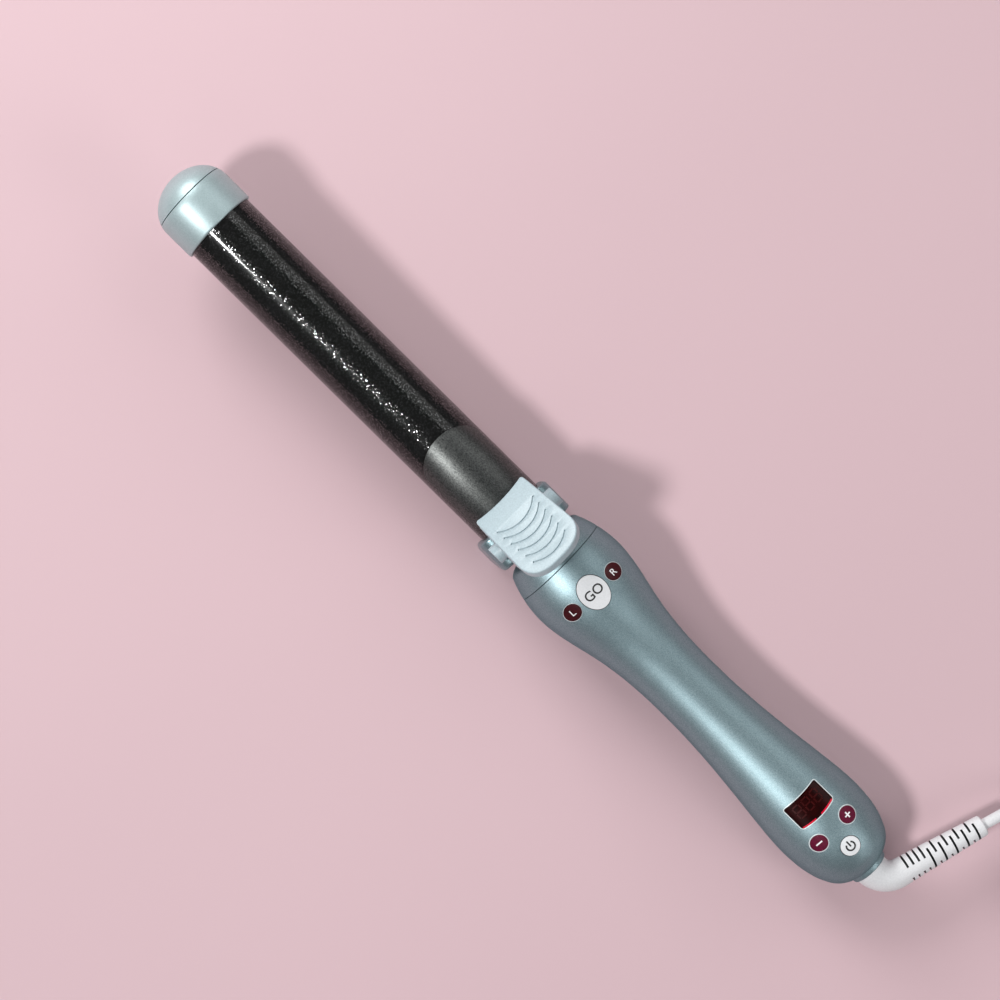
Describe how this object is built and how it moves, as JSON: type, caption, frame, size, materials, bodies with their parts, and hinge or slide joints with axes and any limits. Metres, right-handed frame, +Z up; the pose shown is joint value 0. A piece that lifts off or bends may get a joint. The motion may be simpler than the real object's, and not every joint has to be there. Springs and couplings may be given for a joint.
{
  "type": "rotating curling iron",
  "caption": "Rotating curling iron with a sparkling black barrel, a thumb-lever clamp, spin buttons, a temperature display and a swivelling cord.",
  "frame": {"origin": "bottom centre of the iron as it lies on a table, its lead left out", "axes": "+X along the iron from the cool tip to the cord, +Z up, +Y to the iron's right side"},
  "size_m": [0.5323, 0.1276, 0.0719],
  "materials": {
    "handle_plastic": "satin",
    "tip_plastic": "satin",
    "lever_plastic": "satin",
    "barrel_coating": "gloss",
    "spoon_metal": "brushed",
    "steel": "satin",
    "brass": "satin",
    "heater_aluminium": "matte",
    "heater_ceramic": "matte",
    "inner_plastic": "matte",
    "gear_plastic": "matte",
    "carbon": "matte",
    "motor_metal": "satin",
    "circuit_board": "matte",
    "display_dark": "gloss",
    "white_button": "satin",
    "dark_button": "gloss",
    "cord_rubber": "satin"
  },
  "bodies": {
    "handle": {"nose_ring": "handle_plastic", "front_bearing": "gear_plastic", "rear_bearing": "gear_plastic", "upper_shell": "handle_plastic", "lower_shell": "handle_plastic", "shell_screws": "steel", "motor_plate": "motor_metal", "gear_motor": "motor_metal", "brush_block": "inner_plastic", "brushes": "carbon", "front_board": "circuit_board", "front_switches": "inner_plastic", "rear_board": "circuit_board", "rear_switches": "inner_plastic", "display_module": "display_dark", "window_lens": "display_dark", "power_board": "circuit_board", "power_parts": "inner_plastic", "contact_block": "inner_plastic", "swivel_collar": "handle_plastic"},
    "barrel": {"cool_tip_dome": "tip_plastic", "cool_tip_band": "tip_plastic", "barrel_tube": "barrel_coating", "heat_spreaders": "heater_aluminium", "heater_strip": "heater_ceramic", "temperature_sensor": "heater_ceramic", "heat_barrier": "inner_plastic", "hub_bracket": "lever_plastic", "hub_screws": "steel", "hinge_pin": "steel", "clamp_spring": "steel", "spindle": "inner_plastic", "driven_gear": "gear_plastic", "slip_ring_drum": "inner_plastic", "slip_rings": "brass"},
    "drive_pinion": {"pinion": "gear_plastic", "motor_shaft": "steel"},
    "clamp": {"clamp_spoon": "spoon_metal", "clamp_lever": "lever_plastic", "clamp_rivets": "steel"},
    "go": {"go_button": "white_button"},
    "left": {"left_button": "dark_button"},
    "right": {"right_button": "dark_button"},
    "minus": {"minus_button": "dark_button"},
    "plus": {"plus_button": "dark_button"},
    "power": {"power_button": "white_button"},
    "cord_end": {"swivel_rotor": "inner_plastic", "swivel_contacts": "brass", "strain_relief": "cord_rubber", "mains_cord": "cord_rubber", "cord_coil": "cord_rubber", "cord_tail": "cord_rubber", "plug_relief": "cord_rubber", "plug_body": "cord_rubber", "plug_blades": "brass"}
  },
  "joints": [
    {"name": "barrel_spin", "type": "hinge", "parent": "handle", "child": "barrel", "pos_m": [0.01376, 0, 0.02919], "axis": [0.9986, 0, -0.0523], "continuous": true},
    {"name": "pinion_spin", "type": "hinge", "parent": "handle", "child": "drive_pinion", "pos_m": [0.01894, 0, 0.01721], "axis": [0.9986, 0, -0.0523], "continuous": true},
    {"name": "clamp_open", "type": "hinge", "parent": "barrel", "child": "clamp", "pos_m": [-0.00076, 0, 0.04828], "axis": [0, 1, 0], "range_deg": [0, 30], "stiffness_Nm_per_rad": 0.12, "springref_deg": -28.65, "deforming": ["clamp_spring"]},
    {"name": "go_press", "type": "slide", "parent": "handle", "child": "go", "axis": [-0.0523, 0, -0.9986], "range_m": [0, 0.0006], "stiffness_N_per_m": 1500, "springref_m": -0.0004},
    {"name": "left_press", "type": "slide", "parent": "handle", "child": "left", "axis": [-0.0523, 0, -0.9986], "range_m": [0, 0.0006], "stiffness_N_per_m": 1500, "springref_m": -0.0004},
    {"name": "right_press", "type": "slide", "parent": "handle", "child": "right", "axis": [-0.0523, 0, -0.9986], "range_m": [0, 0.0006], "stiffness_N_per_m": 1500, "springref_m": -0.0004},
    {"name": "minus_press", "type": "slide", "parent": "handle", "child": "minus", "axis": [-0.0523, 0, -0.9986], "range_m": [0, 0.0006], "stiffness_N_per_m": 1500, "springref_m": -0.0004},
    {"name": "plus_press", "type": "slide", "parent": "handle", "child": "plus", "axis": [-0.0523, 0, -0.9986], "range_m": [0, 0.0006], "stiffness_N_per_m": 1500, "springref_m": -0.0004},
    {"name": "power_press", "type": "slide", "parent": "handle", "child": "power", "axis": [-0.0523, 0, -0.9986], "range_m": [0, 0.0006], "stiffness_N_per_m": 1500, "springref_m": -0.0004},
    {"name": "cord_swivel", "type": "hinge", "parent": "handle", "child": "cord_end", "pos_m": [0.19551, 0, 0.01967], "axis": [0.9986, 0, -0.0523], "continuous": true}
  ],
  "couplings": [
    {"joint": "pinion_spin", "follows": "barrel_spin", "ratio": -2}
  ]
}
